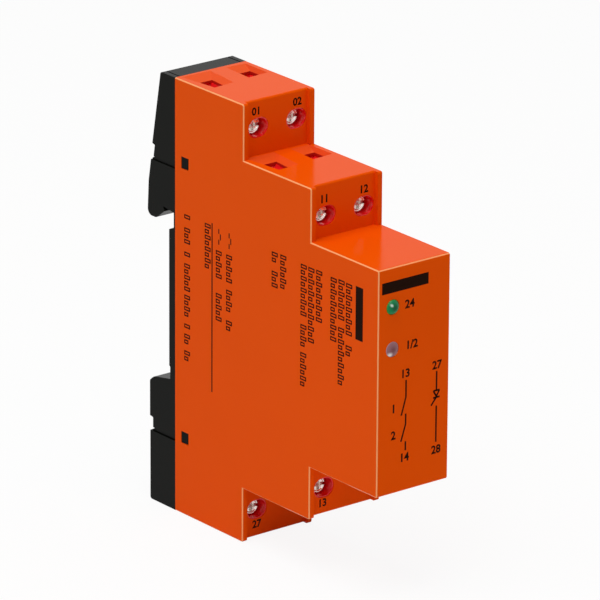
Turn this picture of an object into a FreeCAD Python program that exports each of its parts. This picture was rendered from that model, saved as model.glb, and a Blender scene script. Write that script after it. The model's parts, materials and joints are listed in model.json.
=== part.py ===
"""Rail-mounted safety relay in a stepped 17.5 mm housing.

Frame: millimetres, +Z up, +Y towards the wall, X across the narrow width.  The origin is the
middle of the face that seats on the front of a 35 mm top-hat rail, on the housing's mid-plane.
Every physical piece is one solid, written to parts/NAME.step.
"""
import FreeCAD, Part
import math
import os

V = FreeCAD.Vector

# ---- driving dimensions -------------------------------------------------------------------
WIDTH = 17.5                 # one rail module
HEIGHT = 90.0
COVER_FRONT = -65.0          # front face of the cover, measured from the rail seat
COVER_BACK = -2.0            # parting line between cover and base
WALL = 1.2                   # wall of both mouldings
CHEEK_STEP = 1.0             # how far the side cheeks stand in front of the terminal walls
FRONT_HALF = 22.9            # half height of the front step
MIDDLE_HALF = 33.7           # half height of the middle step
REAR_HALF = HEIGHT / 2
MIDDLE_FRONT = -44.5         # cheek fronts of the middle step
REAR_FRONT = -23.6           # cheek fronts of the rear step
CORNER = 0.45                # rounding of the profile's outer corners
EDGE = 0.2                   # chamfer of the long side edges

TERMINAL_X = 4.65            # terminals either side of the mid-plane
TERMINAL_SHIFT = 0.3         # both columns lie slightly off the mid-plane
SCREW_HEIGHTS = {            # tier name: height of its two screws
    "top_rear": 39.3,
    "top_front": 27.2,
    "bottom_front": -28.3,
    "bottom_rear": -39.3,
}
ACCESS = (2.5, 2.05)         # half width and half height of the oval openings over the screws
COLLAR_PLAY = 0.04           # round the red collar that plugs into an opening
COLLAR_RIM = 0.2             # wall thickness of the collar
COLLAR_DROP = 0.15           # its rim below the terminal wall
SCREW_DEPTH = 1.8            # screw heads sit this far behind the terminal walls
HEAD_RADIUS = 1.75
HEAD_HEIGHT = 1.6
SHANK_RADIUS = 1.45
SHANK_SIDES = 12             # the thread's outline, hidden in the cage
SHANK_LENGTH = 9.6

FUNNEL_DEPTH = 0.7           # sloped part of a wire entry
MOUTHS = {                   # corners of the wire mouths by column, y from the next wall
    1: [(-7.5, -0.3), (-0.7, -0.3), (-1.55, -8.9), (-6.6, -9.3)],
    2: [(3.0, -0.7), (7.5, -0.7), (7.5, -7.9), (2.6, -8.3)],
}
MOUTH_SLOPES = {1: (3.2, 1.65, 0.95, 0.35), 2: (2.8, 0.9, 0.35, 0.2)}
SHAFT_MIDDLE = 5.0           # wire shaft in the red carrier, in front of the next wall
SHAFT_MOUTH = 2.1            # half width at its top
SHAFT_MOUTH_X = 4.8          # distance of the top from the mid-plane
SHAFT_HALF = 1.25            # half width below its taper
SHAFT_TAPER = 0.9

LED_X = -5.25
LED_RADIUS = 1.5
LED_LENGTH = 5.0
LEDS = {"status_led_green": (15.0, 0.9), "status_led_clear": (6.5, 0.4)}   # height, stand-out

HOOK_NOSE = 14.65            # lowest point of the fixed hook
WINDOW_HEIGHTS = (28.2, -28.8)
WINDOW = (-6.3, -3.9, 2.5)   # front edge, back edge and height of a snap window

BOARD_FACE = 5.7             # component side of the circuit board
BOARD_THICK = 1.6
LEAD_END = BOARD_FACE + BOARD_THICK + 0.15   # leads are cut off just behind the board

HALF = WIDTH / 2
INNER = HALF - WALL
MIDDLE_WALL = MIDDLE_FRONT + CHEEK_STEP
REAR_WALL = REAR_FRONT + CHEEK_STEP


# ---- small geometry helpers ---------------------------------------------------------------
def box(x0, x1, y0, y1, z0, z1):
    """Box between two corners."""
    return Part.makeBox(x1 - x0, y1 - y0, z1 - z0, V(x0, y0, z0))


def fused(shapes):
    """One solid from touching shapes."""
    shapes = list(shapes)
    body = shapes[0] if len(shapes) == 1 else shapes[0].multiFuse(shapes[1:])
    return body.removeSplitter()


def rounded_wire(points):
    """Closed wire through (vector, corner radius) pairs with tangent arcs at the corners."""
    arcs = []
    count = len(points)
    for i, (here, radius) in enumerate(points):
        before = (points[i - 1][0] - here).normalize()
        after = (points[(i + 1) % count][0] - here).normalize()
        half_angle = before.getAngle(after) / 2
        setback = radius / math.tan(half_angle)
        middle = here + (before + after).normalize() * (radius / math.sin(half_angle) - radius)
        arcs.append((here + before * setback, middle, here + after * setback, radius))
    edges = []
    for i, (start, middle, end, radius) in enumerate(arcs):
        if radius > 0:
            edges.append(Part.Arc(start, middle, end).toShape())
        following = arcs[(i + 1) % count][0]
        if end.distanceToPoint(following) > 1e-6:
            edges.append(Part.LineSegment(end, following).toShape())
    return Part.Wire(edges)


def side_prism(points, x0, x1):
    """Prism across X from a side outline of (y, z) or (y, z, corner radius) points."""
    corners = [(V(x0, p[0], p[1]), p[2] if len(p) > 2 else 0.0) for p in points]
    return Part.Face(rounded_wire(corners)).extrude(V(x1 - x0, 0, 0))


def rod_y(x, z, radius, y0, y1):
    """Round rod along Y."""
    return Part.makeCylinder(radius, y1 - y0, V(x, y0, z), V(0, 1, 0))


def rod_x(y, z, radius, x0, x1):
    """Round rod along X."""
    return Part.makeCylinder(radius, x1 - x0, V(x0, y, z), V(1, 0, 0))


def soften(shape, radius, chosen):
    """Round the edges for which chosen(edge) is true."""
    return shape.makeFillet(radius, [edge for edge in shape.Edges if chosen(edge)])


def on_side(edge, half, back=None):
    """True for an edge that lies in a side face, away from the plane y = back."""
    box_ = edge.BoundBox
    in_side = box_.XLength < 1e-6 and abs(abs(box_.XMin) - half) < 1e-6
    return in_side and not (back is not None and abs(box_.YMin - back) < 1e-6 and box_.YLength < 1e-6)


# ---- tiers --------------------------------------------------------------------------------
class Tier:
    """Where one row of two terminals sits: its wall, its outer plate and its direction."""

    def __init__(self, name):
        self.name = name
        self.screw_z = SCREW_HEIGHTS[name]
        self.sign = 1 if self.screw_z > 0 else -1
        rear = name.endswith("rear")
        self.wall = REAR_WALL if rear else MIDDLE_WALL
        self.plate = REAR_HALF if rear else MIDDLE_HALF
        self.below = MIDDLE_HALF if rear else FRONT_HALF
        self.next_wall = COVER_BACK - 0.4 if rear else REAR_WALL
        self.carrier_low = MIDDLE_HALF + 0.5 if rear else FRONT_HALF - 0.7
        self.pin_low = MIDDLE_HALF - 4.7 if rear else FRONT_HALF - 4.5

    def z_span(self, low, high):
        """Ordered Z pair from two distances measured outwards from mid-height."""
        return sorted((self.sign * low, self.sign * high))


TIERS = [Tier(name) for name in SCREW_HEIGHTS]


def terminals():
    """Every terminal as (tier, column number, x)."""
    for tier in TIERS:
        for column, side in enumerate((-1, 1), start=1):
            yield tier, column, side * TERMINAL_X + TERMINAL_SHIFT


# ---- cover --------------------------------------------------------------------------------
def stepped_outline(front, middle, rear, half_front, half_middle, half_rear, back, radius):
    """Side outline of three steps, symmetrical about mid-height."""
    upper = [
        (front, half_front, radius),
        (middle, half_front, 0),
        (middle, half_middle, radius),
        (rear, half_middle, 0),
        (rear, half_rear, radius),
        (back, half_rear, 0),
    ]
    return upper + [(y, -z, r) for y, z, r in reversed(upper)]


def inset(ring, shifts):
    """Ring of (x, y) corners with each side moved inwards, parallel, by its own distance."""
    lines = []
    for (x0, y0), (x1, y1), shift in zip(ring, ring[1:] + ring[:1], shifts):
        length = math.hypot(x1 - x0, y1 - y0)
        nx, ny = (y1 - y0) / length, (x0 - x1) / length
        lines.append((nx, ny, nx * x0 + ny * y0 + shift))
    corners = []
    for (a, b, c), (d, e, f) in zip(lines[-1:] + lines[:-1], lines):
        det = a * e - b * d
        corners.append(((c * e - b * f) / det, (a * f - c * d) / det))
    return corners


def square_ring(x, y, half):
    """Corners (x, y) of a square about a point."""
    return [(x - half, y - half), (x - half, y + half), (x + half, y + half), (x + half, y - half)]


def frustum(ring_a, z_a, ring_b, z_b):
    """Solid with flat sides between two rings of (x, y) corners at two heights."""
    low = [V(x, y, z_a) for x, y in ring_a]
    high = [V(x, y, z_b) for x, y in ring_b]
    loops = [low, high]
    for i in range(len(low)):
        loops.append([low[i - 1], low[i], high[i], high[i - 1]])
    faces = [Part.Face(Part.makePolygon(loop + loop[:1])) for loop in loops]
    return Part.makeSolid(Part.makeShell(faces))


def funnel(tier, side):
    """Wire entry: a sloped four-sided mouth in the plate, then a straight opening through it."""
    top = tier.sign * tier.plate
    foot = tier.sign * (tier.plate - FUNNEL_DEPTH)
    back = tier.next_wall
    mouth = [(x, back + y) for x, y in MOUTHS[side]]
    throat = inset(mouth, MOUTH_SLOPES[side])
    slope = frustum(mouth, top, throat, foot)
    shaft = frustum(throat, foot, throat, foot - tier.sign * (WALL + 1))
    return fused([slope, shaft])


def oval(tier, x, shrink, y0, y1):
    """Oval rod along Y round a screw's axis, smaller than the screwdriver opening by shrink."""
    radius = ACCESS[1] - shrink
    offset = ACCESS[0] - ACCESS[1]
    z0, z1 = tier.screw_z - radius, tier.screw_z + radius
    corners = [V(x + dx, y0, z) for dx, z in ((-offset, z0), (-offset, z1), (offset, z1), (offset, z0))]
    left = Part.Arc(corners[0], V(x - offset - radius, y0, tier.screw_z), corners[1])
    right = Part.Arc(corners[2], V(x + offset + radius, y0, tier.screw_z), corners[3])
    top = Part.makeLine(corners[1], corners[2])
    bottom = Part.makeLine(corners[3], corners[0])
    ring = Part.Wire([left.toShape(), top, right.toShape(), bottom])
    return Part.Face(ring).extrude(V(0, y1 - y0, 0))


def front_cover():
    """Stepped shell with cheeks, screw openings, wire entries, snap windows and LED holes."""
    cheeks = side_prism(
        stepped_outline(COVER_FRONT, MIDDLE_FRONT, REAR_FRONT, FRONT_HALF, MIDDLE_HALF, REAR_HALF,
                        COVER_BACK, CORNER),
        -HALF, HALF)
    cheeks = cheeks.makeChamfer(EDGE, [edge for edge in cheeks.Edges if on_side(edge, HALF, COVER_BACK)])
    for tier in TIERS:
        front = tier.wall - CHEEK_STEP
        z0, z1 = tier.z_span(tier.below, tier.plate + 1)
        recess = box(-INNER, INNER, front - 1, tier.wall, z0, z1)
        cheeks = cheeks.cut(recess)
    for tier in TIERS:
        edge_z = tier.sign * tier.plate
        cheeks = soften(cheeks, CORNER, lambda edge: (
            edge.BoundBox.YLength < 1e-6 and edge.BoundBox.ZLength < 1e-6
            and abs(edge.BoundBox.YMin - tier.wall) < 1e-6 and abs(edge.BoundBox.ZMin - edge_z) < 1e-6))
    hollow = side_prism(
        stepped_outline(COVER_FRONT + WALL, MIDDLE_WALL + WALL, REAR_WALL + WALL, FRONT_HALF - WALL,
                        MIDDLE_HALF - WALL, REAR_HALF - WALL, COVER_BACK + 1, 0),
        -INNER, INNER)
    cuts = [hollow]
    for tier, column, x in terminals():
        cuts.append(oval(tier, x, 0.0, tier.wall - 1, tier.wall + WALL + 1))
        cuts.append(funnel(tier, column))
    y0, y1, height = WINDOW
    for z in WINDOW_HEIGHTS:
        cuts.append(box(-HALF - 1, HALF + 1, y0, y1, z - height / 2, z + height / 2))
    for z, _ in LEDS.values():
        cuts.append(rod_y(LED_X, z, LED_RADIUS + 0.05, COVER_FRONT - 1, COVER_FRONT + WALL + 1))
    shell = cheeks.cut(cuts)
    inside = COVER_FRONT + WALL
    guides = []
    for z in (-18.0, 18.0):
        z0, z1 = z - 0.5, z + 0.5
        guides.append(box(BOARD_FACE - 1.2, BOARD_FACE, inside - 0.1, inside + 4.5, z0, z1))
        guides.append(box(BOARD_FACE + BOARD_THICK, INNER + 0.1, inside - 0.1, inside + 30, z0, z1))
    return fused([shell] + guides)


# ---- base ---------------------------------------------------------------------------------
BASE_SIDE = HALF - 0.05      # the base stands a hair inside the cover's sides
BASE_TOP = REAR_HALF - 0.05
LATCH_HALF = 3.4
FLANGE_HALF = 4.6
LATCH_FRONT = 1.2
LATCH_BACK = 5.4
FLANGE_BACK = 2.8
PLAY = 0.15                  # latch running play in its channel


def base_outline():
    """Side outline of the base: sloping back, fixed hook, rail seat and latch block."""
    return [
        (COVER_BACK, BASE_TOP),
        (2.7, BASE_TOP, 0.5),
        (5.4, 29.7, 0.2),
        (4.6, 29.5, 0.2),
        (5.0, 27.0, 0.2),
        (5.8, 26.5, 0.3),
        (6.6, 21.7, 2.0),
        (6.95, HOOK_NOSE, 1.3),
        (4.1, HOOK_NOSE, 1.6),
        (1.45, 16.7, 0.2),
        (2.1, 17.6, 0.15),
        (-1.5, 17.15, 0.2),
        (-1.5, 14.1),
        (0.0, 13.4),
        (0.0, -15.0),
        (-0.3, -15.2),
        (-0.3, -17.75),
        (4.9, -18.7, 2.0),
        (6.3, -19.8, 0.8),
        (6.3, -27.3),
        (5.3, -27.5, 0.2),
        (5.3, -29.9, 0.2),
        (6.2, -30.4),
        (6.2, -BASE_TOP, 0.5),
        (COVER_BACK, -BASE_TOP),
    ]


def rear_base():
    """Moulded base: side walls, hook ribs, rail seat, latch channel and snap tongues."""
    block = side_prism(base_outline(), -BASE_SIDE, BASE_SIDE)
    inner = BASE_SIDE - WALL - 0.1
    width, height = INNER - 0.1, REAR_HALF - WALL - 0.1
    spigot = box(-width, width, -3.4, COVER_BACK, -height, height)
    body = fused([block, spigot])
    # the housing's inside reaches back between the side walls
    cuts = [
        side_prism([(-4, 42.4), (0.8, 42.4), (2.6, 31.0), (2.6, 20.5), (-4, 20.5)], -inner, inner),
        box(-inner, inner, -4, -2.9, -15.5, 20.5),
        side_prism([(-4, -19.5), (-0.6, -19.5), (-0.6, -42.4), (-4, -42.4)], -inner, inner),
        side_prism([(-4, -19.5), (-1.6, -19.5), (-1.6, -15.5), (-4, -15.5)], -inner, inner),
    ]
    # open back: a middle rib stands between the side walls
    for x0, x1 in ((-inner, -0.6), (0.6, inner)):
        cuts.append(side_prism([(4.1, 21.0), (9, 21.0), (9, 25.6), (4.1, 25.6)], x0, x1))
        cuts.append(side_prism([(4.1, 31.2), (9, 31.2), (9, 42.0), (2.4, 42.0)], x0, x1))
    # latch channel: a wide groove for the flanges behind a narrower slot
    z0, z1 = -REAR_HALF - 1, -16
    groove, slot = FLANGE_HALF + PLAY, LATCH_HALF + PLAY
    cuts.append(box(-groove, groove, LATCH_FRONT - PLAY, FLANGE_BACK + PLAY, z0, z1))
    cuts.append(box(-slot, slot, LATCH_FRONT - PLAY, 9, z0, z1))
    # shallow grooves across both side faces and along the top
    for z in (26.7, -30.0):
        for side in (-1, 1):
            x0, x1 = sorted((side * (BASE_SIDE - 0.35), side * (BASE_SIDE + 1)))
            cuts.append(box(x0, x1, COVER_BACK - 1, 9, z - 0.4, z + 0.4))
    for side in (-1, 1):
        x = side * (BASE_SIDE - WALL)
        cuts.append(box(x - 0.15, x + 0.15, COVER_BACK, 9, BASE_TOP - 0.3, BASE_TOP + 1))
    body = body.cut(cuts)
    # ledge that carries the latch spring, and the snap tongues with their lugs
    additions = [box(-1.4, 1.4, LATCH_FRONT - PLAY - 0.2, 5.0, -40.9, -39.3)]
    y0, y1, height = WINDOW
    for z in WINDOW_HEIGHTS:
        for side in (-1, 1):
            xa, xb = sorted((side * 6.3, side * (INNER - 0.1)))
            additions.append(box(xa, xb, -7.5, -3.0, z - 2.5, z + 2.5))
            lug = [(side * (INNER - 0.3), y0 + 0.1), (side * (HALF - 0.25), y0 + 0.5),
                   (side * (HALF - 0.1), y1 - 0.1), (side * (INNER - 0.3), y1 - 0.1)]
            face = Part.Face(Part.makePolygon([V(x, y, z - height / 2 + 0.08) for x, y in lug + lug[:1]]))
            additions.append(face.extrude(V(0, 0, height - 0.16)))
    return fused([body] + additions)


# ---- rail latch ---------------------------------------------------------------------------
LATCH_TOP = -15.3
LATCH_FOOT = -44.7
LATCH_WINDOW = (-41.0, -30.0)
SPRING_SEAT = -39.3
SPRING_Y = 3.3


def rail_latch():
    """Sliding latch: hook nose, guide flanges, spring window and screwdriver slot."""
    plate = side_prism(
        [(LATCH_FRONT, LATCH_TOP, 0.2), (2.4, LATCH_TOP, 0.4), (LATCH_BACK, -18.2, 0.6),
         (LATCH_BACK, LATCH_FOOT, 0.5), (LATCH_FRONT, LATCH_FOOT)], -LATCH_HALF, LATCH_HALF)
    flanges = box(-FLANGE_HALF, FLANGE_HALF, LATCH_FRONT, FLANGE_BACK, -42.0, -22.0)
    window = box(-1.8, 1.8, 0, 9, *LATCH_WINDOW)
    pocket = box(-2.2, 2.2, 3.6, 9, -43.7, -42.3)
    grips = [
        box(-LATCH_HALF - 1, LATCH_HALF + 1, LATCH_BACK - 0.4, 9, z, z + 0.6)
        for z in (-28.4, -27.2, -26.0)
    ]
    return fused([plate, flanges]).cut([window, pocket] + grips)


def latch_spring():
    """Compression spring between the base ledge and the top of the latch window."""
    wire, mean, turns, steps, sides = 0.22, 1.15, 5, 9, 4
    length = LATCH_WINDOW[1] - SPRING_SEAT - 2 * wire - 0.04
    start = SPRING_SEAT + wire + 0.02
    rings = []
    for i in range(turns * steps + 1):
        angle = 2 * math.pi * i / steps
        out = V(math.cos(angle), math.sin(angle), 0)
        centre = V(0, SPRING_Y, start + length * i / (turns * steps)) + out * mean
        corners = [centre + out * (wire * math.cos(k)) + V(0, 0, wire * math.sin(k))
                   for k in (2 * math.pi * j / sides for j in range(sides))]
        rings.append(Part.makePolygon(corners + corners[:1]))
    return Part.makeLoft(rings, True, True)


# ---- terminals ----------------------------------------------------------------------------
SIDE_GAP = 0.1               # carriers stand this far off the cover's sides
HEAD_Y = SCREW_DEPTH
LEDGE_Y = HEAD_Y + HEAD_HEIGHT + 0.05
LEDGE_THICK = 1.0
BAR_Y = HEAD_Y + HEAD_HEIGHT + SHANK_LENGTH + 0.1
BAR_THICK = 0.8
PIN_SIZE = 1.0
PIN_STAGGER = 1.8            # the two bars of a tier reach the board one above the other
BAR_HALF = 1.5
CAGE_FRONT = 8.8             # threaded wall of the open cage, behind the terminal wall
CAGE_LENGTH = 9.2
CAGE_WALL = 1.5
CAGE_HALF = 2.0
CAGE_SIDE = 0.4
CAGE_BACK = 1.1
CAGE_HEIGHT = 5.0
CARRIER_BACK = 18.9


def terminal_carrier(tier):
    """Red moulding with screw tubes, head ledges, cage chambers and wire shafts."""
    low, high = tier.carrier_low, tier.plate - WALL
    z0, z1 = tier.z_span(low, high)
    y0 = tier.wall + WALL
    y1 = tier.wall + CARRIER_BACK
    outer_half = INNER - SIDE_GAP
    columns = [side * TERMINAL_X + TERMINAL_SHIFT for side in (-1, 1)]
    body = [box(-outer_half, outer_half, y0, y1, z0, z1)]
    body += [oval(tier, x, COLLAR_PLAY, tier.wall + COLLAR_DROP, y0 + 1) for x in columns]
    cuts = []
    for x in columns:
        tube_end = tier.wall + LEDGE_Y
        chamber = tube_end + LEDGE_THICK
        cuts.append(oval(tier, x, COLLAR_PLAY + COLLAR_RIM, tier.wall, tube_end))
        gap = SHANK_RADIUS + 0.05
        z_low, z_high = tier.screw_z - gap, tier.screw_z + gap
        cuts.append(box(x - gap, x + gap, tube_end - 1, chamber + 1, z_low, z_high))
        reach = CAGE_HEIGHT / 2 + 0.3
        cuts.append(box(x - CAGE_HALF - 0.1, x + CAGE_HALF + 0.1, chamber, y1 - 0.8,
                        tier.screw_z - reach, tier.screw_z + reach))
        # wire shaft from the plate side, and the slot that holds the contact bar
        middle = tier.next_wall - SHAFT_MIDDLE
        mouth = square_ring(math.copysign(SHAFT_MOUTH_X, x), middle, SHAFT_MOUTH)
        shaft = square_ring(x, middle, SHAFT_HALF)
        top, neck = tier.sign * high, tier.sign * (high - SHAFT_TAPER)
        cuts += [frustum(mouth, top, shaft, neck), frustum(shaft, neck, shaft, tier.screw_z)]
        s0, s1 = tier.z_span(low - 1, high - 1.0)
        bar = tier.wall + BAR_Y
        cuts.append(box(x - BAR_HALF, x + BAR_HALF, bar, bar + BAR_THICK, s0, s1))
    return fused(body).cut(cuts)


def terminal_screw(tier, x):
    """Combination-slot clamp screw; its turning moves the cage."""
    y0 = tier.wall + HEAD_Y
    head = rod_y(x, tier.screw_z, HEAD_RADIUS, y0, y0 + HEAD_HEIGHT)
    z = tier.screw_z
    turns = [2 * math.pi * i / SHANK_SIDES for i in range(SHANK_SIDES + 1)]
    y1 = y0 + HEAD_HEIGHT
    ring = [V(x + SHANK_RADIUS * math.cos(a), y1, z + SHANK_RADIUS * math.sin(a)) for a in turns]
    shank = Part.Face(Part.makePolygon(ring)).extrude(V(0, SHANK_LENGTH, 0))
    slot = box(x - HEAD_RADIUS - 1, x + HEAD_RADIUS + 1, y0 - 1, y0 + 0.7, z - 0.3, z + 0.3)
    cross = box(x - 0.35, x + 0.35, y0 - 1, y0 + 1.0, z - 1.1, z + 1.1)
    return fused([head, shank]).cut([slot, cross])


def clamp_cage(tier, x):
    """Rectangular cage with a threaded front wall, open along the wire's direction."""
    y0 = tier.wall + CAGE_FRONT
    z0, z1 = tier.screw_z - CAGE_HEIGHT / 2, tier.screw_z + CAGE_HEIGHT / 2
    frame = box(x - CAGE_HALF, x + CAGE_HALF, y0, y0 + CAGE_LENGTH, z0, z1)
    inside = CAGE_HALF - CAGE_SIDE
    hole = box(x - inside, x + inside, y0 + CAGE_WALL, y0 + CAGE_LENGTH - CAGE_BACK, z0 - 1, z1 + 1)
    thread = rod_y(x, tier.screw_z, SHANK_RADIUS + 0.05, y0 - 1, y0 + CAGE_WALL + 1)
    return frame.cut([hole, thread])


def bar_pin(tier, column):
    """Distances from mid-height between which a bar's solder pin lies."""
    low = tier.pin_low + (PIN_STAGGER if column == 2 else 0.0)
    return low, low + PIN_SIZE


def contact_bar(tier, column, x):
    """Flat bar inside the cage, turned towards the board and ending in a solder pin."""
    y0 = tier.wall + BAR_Y
    y1 = y0 + BAR_THICK
    pin = bar_pin(tier, column)
    strip = box(x - BAR_HALF, x + BAR_HALF, y0, y1, *tier.z_span(tier.carrier_low, tier.plate - WALL - 1.0))
    edge = min(x + BAR_HALF, BOARD_FACE - 0.15)
    tail = box(x - BAR_HALF, edge, y0, y1, *tier.z_span(pin[0], tier.carrier_low))
    arm = box(x, LEAD_END, y0, y1, *tier.z_span(*pin))
    return fused([strip, tail, arm])


# ---- electronics --------------------------------------------------------------------------
BOARD_SHAPE = [(-61.0, 21.3), (-24.0, 21.3), (-24.0, 32.3), (-8.0, 32.3),
               (-8.0, -32.3), (-24.0, -32.3), (-24.0, -21.3), (-61.0, -21.3)]
RELAY_SPAN = (-54.0, -26.0)
RELAY_HEIGHT = 14.6
RELAY_THICK = 12.4
RELAYS = [("relay_channel_a", 8.2), ("relay_channel_b", -8.2)]
RELAY_PINS = [(y, dz) for y in (-51.5, -40.0, -34.5, -29.0) for dz in (-5.0, 5.0)]
BLADE = 0.4                  # half width of a relay's flat pins
LED_BEND = -59.4
LED_LEAD = 0.25
CAPACITOR_PINS = [(-16.0, -1.25), (-16.0, 1.25)]


def circuit_board():
    """Single board parallel to the side wall, holed for every lead."""
    board = side_prism(BOARD_SHAPE, BOARD_FACE, BOARD_FACE + BOARD_THICK)
    through = BOARD_FACE - 1, BOARD_FACE + 3
    holes = []
    for tier, column, _ in terminals():
        low, high = bar_pin(tier, column)
        y0 = tier.wall + BAR_Y
        z0, z1 = tier.z_span(low - 0.05, high + 0.05)
        holes.append(box(*through, y0, y0 + BAR_THICK, z0, z1))
    for _, z in RELAYS:
        for y, dz in RELAY_PINS:
            holes.append(box(*through, y - BLADE, y + BLADE, z + dz - 0.3, z + dz + 0.3))
    for z, _ in LEDS.values():
        for dz in (-1.27, 1.27):
            holes.append(box(*through, LED_BEND - LED_LEAD, LED_BEND + LED_LEAD,
                             z + dz - LED_LEAD - 0.05, z + dz + LED_LEAD + 0.05))
    holes += [box(*through, y - 0.35, y + 0.35, z - 0.35, z + 0.35) for y, z in CAPACITOR_PINS]
    return board.cut(holes)


def relay(z):
    """Sealed forcibly guided relay: plain can on two feet, with flat pins."""
    x0 = BOARD_FACE - 0.3 - RELAY_THICK
    can = box(x0, BOARD_FACE - 0.3, *RELAY_SPAN, z - RELAY_HEIGHT / 2, z + RELAY_HEIGHT / 2)
    feet = [box(BOARD_FACE - 0.4, BOARD_FACE, y - 0.6, y + 0.6, z - 0.6, z + 0.6) for y in (-52.5, -27.5)]
    pins = []
    for y, dz in RELAY_PINS:
        pins.append(box(BOARD_FACE - 0.5, LEAD_END, y - BLADE, y + BLADE, z + dz - 0.25, z + dz + 0.25))
    return fused([can] + feet + pins)


def status_led(z, stand_out):
    """3 mm lamp: dome, barrel and two bent leads."""
    tip = COVER_FRONT - stand_out
    back = tip + LED_LENGTH
    crown = stand_out + 0.1
    curve = (LED_RADIUS ** 2 + crown ** 2) / (2 * crown)
    barrel = rod_y(LED_X, z, LED_RADIUS, tip + crown, back)
    ball = Part.makeSphere(curve, V(LED_X, tip + curve, z))
    dome = ball.common(rod_y(LED_X, z, LED_RADIUS, tip - 1, tip + crown))
    leads = []
    for dz in (-1.27, 1.27):
        z0, z1 = z + dz - LED_LEAD, z + dz + LED_LEAD
        leads.append(box(LED_X - LED_LEAD, LED_X + LED_LEAD, back - 0.1, LED_BEND + LED_LEAD, z0, z1))
        leads.append(box(LED_X - LED_LEAD, LEAD_END, LED_BEND - LED_LEAD, LED_BEND + LED_LEAD, z0, z1))
    return fused([barrel, dome] + leads)


def smoothing_capacitor():
    """Electrolytic can standing off the board."""
    y, radius = CAPACITOR_PINS[0][0], 4.0
    top = BOARD_FACE - 11.0
    can = rod_x(y, 0.0, radius, top, BOARD_FACE)
    pins = []
    for pin_y, pin_z in CAPACITOR_PINS:
        pins.append(box(BOARD_FACE - 0.5, LEAD_END, pin_y - 0.3, pin_y + 0.3, pin_z - 0.3, pin_z + 0.3))
    return fused([can] + pins)


def logic_chip(y, z):
    """Leadless surface-mount controller."""
    return box(BOARD_FACE - 1.2, BOARD_FACE, y - 2.5, y + 2.5, z - 4.0, z + 4.0)


# ---- write --------------------------------------------------------------------------------
def all_parts():
    """Every piece as node name and solid."""
    parts = {
        "front_cover": front_cover(),
        "rear_base": rear_base(),
        "rail_latch": rail_latch(),
        "latch_spring": latch_spring(),
        "circuit_board": circuit_board(),
        "smoothing_capacitor": smoothing_capacitor(),
        "logic_chip_a": logic_chip(-16.0, 14.0),
        "logic_chip_b": logic_chip(-16.0, -14.0),
    }
    for tier in TIERS:
        parts[f"terminal_carrier_{tier.name}"] = terminal_carrier(tier)
    for tier, column, x in terminals():
        parts[f"terminal_screw_{tier.name}_{column}"] = terminal_screw(tier, x)
        parts[f"clamp_cage_{tier.name}_{column}"] = clamp_cage(tier, x)
        parts[f"contact_bar_{tier.name}_{column}"] = contact_bar(tier, column, x)
    for node, z in RELAYS:
        parts[node] = relay(z)
    for node, (z, stand_out) in LEDS.items():
        parts[node] = status_led(z, stand_out)
    return parts


os.makedirs("parts", exist_ok=True)
for node, shape in all_parts().items():
    shape.exportStep(f"parts/{node}.step")
    print(f"{node:36s} solids {len(shape.Solids)} volume {shape.Volume:9.1f} valid {shape.isValid()}")
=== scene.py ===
"""Looks of a narrow rail-mounted safety relay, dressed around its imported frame."""

import json
import logging
import math
from dataclasses import dataclass, field
from enum import Enum
from typing import Any, Callable, Dict, List, Optional, Sequence, Tuple

import bmesh
import bpy
from mathutils import Matrix, Vector


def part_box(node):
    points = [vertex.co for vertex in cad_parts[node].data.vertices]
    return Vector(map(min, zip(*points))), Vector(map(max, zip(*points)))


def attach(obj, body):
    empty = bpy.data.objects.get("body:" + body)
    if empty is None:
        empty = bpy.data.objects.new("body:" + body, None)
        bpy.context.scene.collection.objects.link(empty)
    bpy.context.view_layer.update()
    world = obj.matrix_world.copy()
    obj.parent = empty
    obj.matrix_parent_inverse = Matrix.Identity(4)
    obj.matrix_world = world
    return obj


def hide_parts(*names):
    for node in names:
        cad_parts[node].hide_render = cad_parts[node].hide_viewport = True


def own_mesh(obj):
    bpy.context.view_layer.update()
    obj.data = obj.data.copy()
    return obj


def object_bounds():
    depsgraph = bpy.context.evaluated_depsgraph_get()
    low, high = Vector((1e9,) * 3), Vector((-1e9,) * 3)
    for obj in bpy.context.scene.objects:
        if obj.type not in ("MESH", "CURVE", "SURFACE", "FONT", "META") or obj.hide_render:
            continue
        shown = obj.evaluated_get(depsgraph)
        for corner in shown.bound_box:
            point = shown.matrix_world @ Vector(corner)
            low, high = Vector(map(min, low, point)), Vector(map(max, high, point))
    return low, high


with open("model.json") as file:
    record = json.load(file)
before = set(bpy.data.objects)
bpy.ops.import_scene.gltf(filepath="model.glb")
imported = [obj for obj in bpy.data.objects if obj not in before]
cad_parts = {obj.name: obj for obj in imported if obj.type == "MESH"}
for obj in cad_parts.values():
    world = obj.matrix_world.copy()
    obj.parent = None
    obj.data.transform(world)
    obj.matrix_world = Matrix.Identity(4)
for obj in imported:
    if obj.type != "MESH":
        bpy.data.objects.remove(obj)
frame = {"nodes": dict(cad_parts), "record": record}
CAD_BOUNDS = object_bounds()

LOG = logging.getLogger("relay")
MM = 0.001
HOUSING = "housing"
Point = Tuple[float, float, float]
Spot = Tuple[float, float]


class Tier(Enum):
    """The four rows of two terminals, from the top down."""

    TOP_REAR = "top_rear"
    TOP_FRONT = "top_front"
    BOTTOM_FRONT = "bottom_front"
    BOTTOM_REAR = "bottom_rear"


# ---- small tools --------------------------------------------------------------------------
def linear(code: str) -> Tuple[float, float, float, float]:
    """Turns an sRGB hex colour into opaque linear RGBA.

    Args:
        code: Colour as "#RRGGBB".

    Returns:
        The linear colour.
    """
    parts = [int(code[i:i + 2], 16) / 255 for i in (1, 3, 5)]
    red, green, blue = (v / 12.92 if v <= 0.04045 else ((v + 0.055) / 1.055) ** 2.4 for v in parts)
    return red, green, blue, 1.0


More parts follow.
